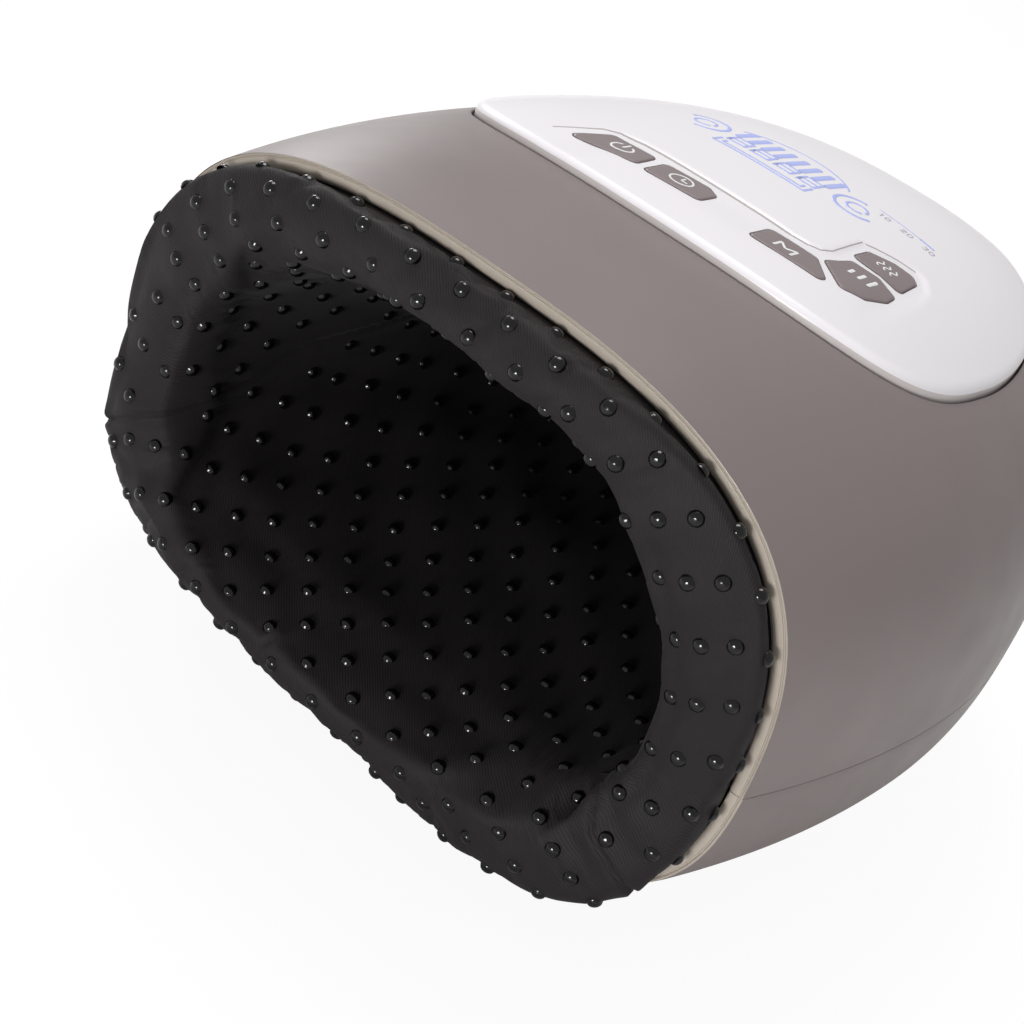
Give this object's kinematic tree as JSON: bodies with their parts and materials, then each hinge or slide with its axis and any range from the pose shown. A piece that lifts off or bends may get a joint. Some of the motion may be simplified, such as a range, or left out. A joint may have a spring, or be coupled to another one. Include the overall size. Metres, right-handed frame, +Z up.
{
  "type": "hand massager",
  "caption": "Rounded cordless hand massager with a padded, fabric-lined hand opening, domed top panel with five keys, and air cells, pump and battery inside.",
  "frame": {"origin": "centre of the bounding box on the surface that the four rubber feet stand on", "axes": "+Z up; -Y points out of the hand opening and +Y towards the tail; +X is the wearer's right, the side where the key row turns back"},
  "size_m": [0.1758, 0.239, 0.1218],
  "materials": {
    "taupe_shell": "satin taupe grey ABS",
    "white_panel": "pale pearl white ABS",
    "key_grey": "soft satin grey keys",
    "board": "green glass-fibre circuit board",
    "dark_plastic": "black moulded plastic",
    "pale_plastic": "natural moulded plastic",
    "fabric": "black woven cloth over foam",
    "air_cell": "welded grey film",
    "heating": "amber heating film",
    "battery": "blue shrink sleeve",
    "rubber": "soft black rubber",
    "hose": "translucent silicone tube",
    "wire": "insulated wire",
    "steel": "zinc-plated steel"
  },
  "bodies": {
    "casing": {"upper_shell": "taupe_shell", "lower_shell": "taupe_shell", "top_panel": "white_panel", "control_board": "board", "key_plug": "pale_plastic", "tact_switches": "steel", "light_guide": "pale_plastic", "display_leds": "pale_plastic", "board_screws": "steel", "buzzer": "dark_plastic", "mouth_roll": "fabric", "liner_upper": "fabric", "liner_lower": "fabric", "chamber_upper": "dark_plastic", "chamber_lower": "dark_plastic", "palm_air_cell": "air_cell", "finger_air_cell": "air_cell", "lower_air_cell": "air_cell", "heating_film": "heating", "kneading_plate": "pale_plastic", "battery_tray": "dark_plastic", "battery_pack": "battery", "battery_strap": "fabric", "bay_frame": "dark_plastic", "bay_screws": "steel", "pump_sleeve": "rubber", "motor_can": "steel", "pump_head": "dark_plastic", "valve_body": "dark_plastic", "valve_spring": "steel", "manifold": "pale_plastic", "pump_hose": "hose", "valve_hose": "hose", "palm_hose": "hose", "finger_hose": "hose", "lower_hose": "hose", "main_board": "board", "board_parts": "dark_plastic", "charge_socket": "steel", "motor_lead": "wire", "battery_lead": "wire", "key_board_lead": "wire", "heater_lead": "wire", "rubber_feet": "rubber", "case_screws": "steel"},
    "power_key": {"power_key": "key_grey"},
    "timer_key": {"timer_key": "key_grey"},
    "mode_key": {"mode_key": "key_grey"},
    "intensity_key": {"intensity_key": "key_grey"},
    "heat_key": {"heat_key": "key_grey"},
    "pump_shaft": {"pump_shaft": "steel"},
    "valve_plunger": {"valve_plunger": "steel"}
  },
  "joints": [
    {"name": "power_key_press", "type": "slide", "parent": "casing", "child": "power_key", "axis": [0, 0, -1], "range_m": [0, 0.0006], "stiffness_N_per_m": 400},
    {"name": "timer_key_press", "type": "slide", "parent": "casing", "child": "timer_key", "axis": [0, 0, -1], "range_m": [0, 0.0006], "stiffness_N_per_m": 400},
    {"name": "mode_key_press", "type": "slide", "parent": "casing", "child": "mode_key", "axis": [0, 0, -1], "range_m": [0, 0.0006], "stiffness_N_per_m": 400},
    {"name": "intensity_key_press", "type": "slide", "parent": "casing", "child": "intensity_key", "axis": [0, 0, -1], "range_m": [0, 0.0006], "stiffness_N_per_m": 400},
    {"name": "heat_key_press", "type": "slide", "parent": "casing", "child": "heat_key", "axis": [0, 0, -1], "range_m": [0, 0.0006], "stiffness_N_per_m": 400},
    {"name": "pump_spin", "type": "hinge", "parent": "casing", "child": "pump_shaft", "pos_m": [0, 0.08247, 0.0485], "axis": [1, 0, 0], "continuous": true},
    {"name": "valve_lift", "type": "slide", "parent": "casing", "child": "valve_plunger", "axis": [0, 0, 1], "range_m": [0, 0.0012], "stiffness_N_per_m": 300, "deforming": ["valve_spring"]}
  ]
}
